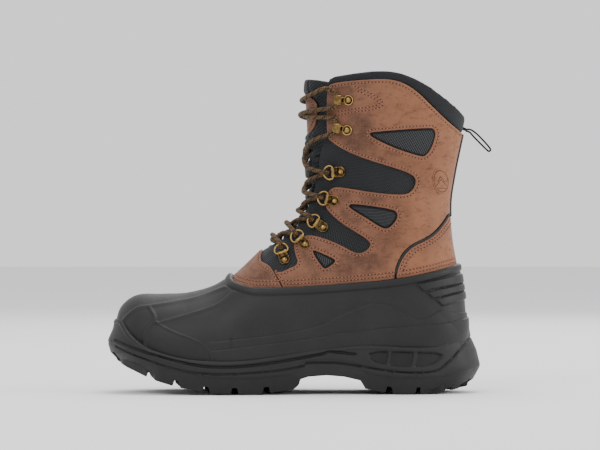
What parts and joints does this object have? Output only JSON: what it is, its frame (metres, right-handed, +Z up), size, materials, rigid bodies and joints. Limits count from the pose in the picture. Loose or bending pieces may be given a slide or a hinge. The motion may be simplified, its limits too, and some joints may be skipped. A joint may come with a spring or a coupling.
{
  "type": "insulated hunting boot",
  "caption": "Left insulated hunting boot: leather and nylon lace-up shaft in a moulded rubber shell on a lugged outsole.",
  "frame": {"origin": "middle of the boot's footprint box, on the surface that the tread stands on; the loose cords are not counted", "axes": "+Z up the shaft; the toe points along -X and the heel along +X; the outer side of the foot faces -Y"},
  "size_m": [0.3237, 0.1225, 0.2707],
  "materials": {
    "leather": "oiled brown nubuck with a fine pebble and tan stitching",
    "thread": "waxed tan stitching",
    "rubber": "matte charcoal moulded rubber",
    "nylon": "black ripstop nylon",
    "mesh_fabric": "black diagonal mesh",
    "collar_fabric": "black fine woven padding cover",
    "cord": "black elastic cord",
    "lining": "dark brushed lining",
    "insulation": "pale fibre batting",
    "foam": "matte foam",
    "board": "pressed fibre board",
    "steel": "brushed",
    "brass": "antique brass",
    "aglet_plastic": "dark film tip",
    "lace": "round braid in tan and dark brown"
  },
  "bodies": {
    "root": {"outsole": "rubber", "midsole": "foam", "insole_board": "board", "shank": "steel", "rubber_shell": "rubber", "insulation": "insulation", "lining": "lining", "vamp_leather": "leather", "heel_counter": "leather", "quarter_lateral": "leather", "shaft_nylon_lateral": "nylon", "gusset_lateral": "mesh_fabric", "quarter_medial": "leather", "shaft_nylon_medial": "nylon", "gusset_medial": "mesh_fabric", "collar": "collar_fabric", "counter_piping": "cord", "ring_clip_lateral_1": "brass", "rivet_lateral_1": "brass", "ring_clip_lateral_2": "brass", "rivet_lateral_2": "brass", "ring_clip_lateral_3": "brass", "rivet_lateral_3": "brass", "ring_clip_lateral_4": "brass", "rivet_lateral_4": "brass", "ring_clip_lateral_5": "brass", "rivet_lateral_5": "brass", "ring_clip_medial_1": "brass", "rivet_medial_1": "brass", "ring_clip_medial_2": "brass", "rivet_medial_2": "brass", "ring_clip_medial_3": "brass", "rivet_medial_3": "brass", "ring_clip_medial_4": "brass", "rivet_medial_4": "brass", "ring_clip_medial_5": "brass", "rivet_medial_5": "brass", "lace_hook_lateral_lower": "brass", "lace_hook_lateral_upper": "brass", "lace_hook_medial_lower": "brass", "lace_hook_medial_upper": "brass", "lace": "lace", "lace_tail_lateral": "lace", "aglet_lateral": "aglet_plastic", "lace_tail_medial": "lace", "aglet_medial": "aglet_plastic"},
    "d_ring_lateral_1": {"d_ring_lateral_1": "brass"},
    "d_ring_lateral_2": {"d_ring_lateral_2": "brass"},
    "d_ring_lateral_3": {"d_ring_lateral_3": "brass"},
    "d_ring_lateral_4": {"d_ring_lateral_4": "brass"},
    "d_ring_lateral_5": {"d_ring_lateral_5": "brass"},
    "d_ring_medial_1": {"d_ring_medial_1": "brass"},
    "d_ring_medial_2": {"d_ring_medial_2": "brass"},
    "d_ring_medial_3": {"d_ring_medial_3": "brass"},
    "d_ring_medial_4": {"d_ring_medial_4": "brass"},
    "d_ring_medial_5": {"d_ring_medial_5": "brass"},
    "tongue": {"tongue": "collar_fabric", "tongue_patch": "leather"},
    "footbed": {"footbed": "foam"},
    "pull_loop": {"pull_loop": "cord"}
  },
  "joints": [
    {"name": "d_ring_swing_lateral_1", "type": "hinge", "parent": "root", "child": "d_ring_lateral_1", "pos_m": [0.0331, -0.03519, 0.18544], "axis": [-0.0895, -0.0446, 0.995], "range_deg": [-3, 25], "deforming": ["lace"]},
    {"name": "d_ring_swing_lateral_2", "type": "hinge", "parent": "root", "child": "d_ring_lateral_2", "pos_m": [0.02815, -0.03233, 0.16312], "axis": [0.2227, -0.0971, 0.97], "range_deg": [-3, 25], "deforming": ["lace"]},
    {"name": "d_ring_swing_lateral_3", "type": "hinge", "parent": "root", "child": "d_ring_lateral_3", "pos_m": [0.0194, -0.03083, 0.14317], "axis": [0.5659, 0.1278, 0.8145], "range_deg": [-3, 25], "deforming": ["lace"]},
    {"name": "d_ring_swing_lateral_4", "type": "hinge", "parent": "root", "child": "d_ring_lateral_4", "pos_m": [0.00505, -0.03248, 0.1298], "axis": [0.7233, 0.1132, 0.6812], "range_deg": [-3, 25], "deforming": ["lace"]},
    {"name": "d_ring_swing_lateral_5", "type": "hinge", "parent": "root", "child": "d_ring_lateral_5", "pos_m": [-0.00942, -0.03245, 0.11819], "axis": [0.9353, -0.0875, 0.3428], "range_deg": [-3, 25], "deforming": ["lace"]},
    {"name": "d_ring_swing_medial_1", "type": "hinge", "parent": "root", "child": "d_ring_medial_1", "pos_m": [0.0331, 0.03519, 0.18544], "axis": [0.0894, -0.0447, -0.995], "range_deg": [-3, 25], "deforming": ["lace"]},
    {"name": "d_ring_swing_medial_2", "type": "hinge", "parent": "root", "child": "d_ring_medial_2", "pos_m": [0.02815, 0.03193, 0.16305], "axis": [-0.2061, -0.1234, -0.9707], "range_deg": [-3, 25], "deforming": ["lace"]},
    {"name": "d_ring_swing_medial_3", "type": "hinge", "parent": "root", "child": "d_ring_medial_3", "pos_m": [0.01933, 0.02961, 0.14305], "axis": [-0.5492, 0.0837, -0.8315], "range_deg": [-3, 25], "deforming": ["lace"]},
    {"name": "d_ring_swing_medial_4", "type": "hinge", "parent": "root", "child": "d_ring_medial_4", "pos_m": [0.00507, 0.03251, 0.12991], "axis": [-0.7292, 0.1476, -0.6683], "range_deg": [-3, 25], "deforming": ["lace"]},
    {"name": "d_ring_swing_medial_5", "type": "hinge", "parent": "root", "child": "d_ring_medial_5", "pos_m": [-0.00934, 0.03316, 0.11829], "axis": [-0.946, -0.0599, -0.3186], "range_deg": [-3, 25], "deforming": ["lace"]},
    {"name": "tongue_tilt", "type": "hinge", "parent": "root", "child": "tongue", "pos_m": [-0.014, 0, 0.124], "axis": [0, 1, 0], "range_deg": [0, 10], "stiffness_Nm_per_rad": 0.6, "springref_deg": -3.44, "deforming": ["gusset_lateral", "gusset_medial", "lace_tail_lateral", "lace_tail_medial", "aglet_lateral", "aglet_medial"]},
    {"name": "footbed_lift", "type": "hinge", "parent": "root", "child": "footbed", "pos_m": [-0.136, 0, 0.034], "axis": [0, -1, 0], "range_deg": [0, 7]},
    {"name": "pull_loop_swing", "type": "hinge", "parent": "root", "child": "pull_loop", "pos_m": [0.1478, 0, 0.2235], "axis": [0, 1, 0], "range_deg": [-35, 30], "stiffness_Nm_per_rad": 0.0006}
  ]
}
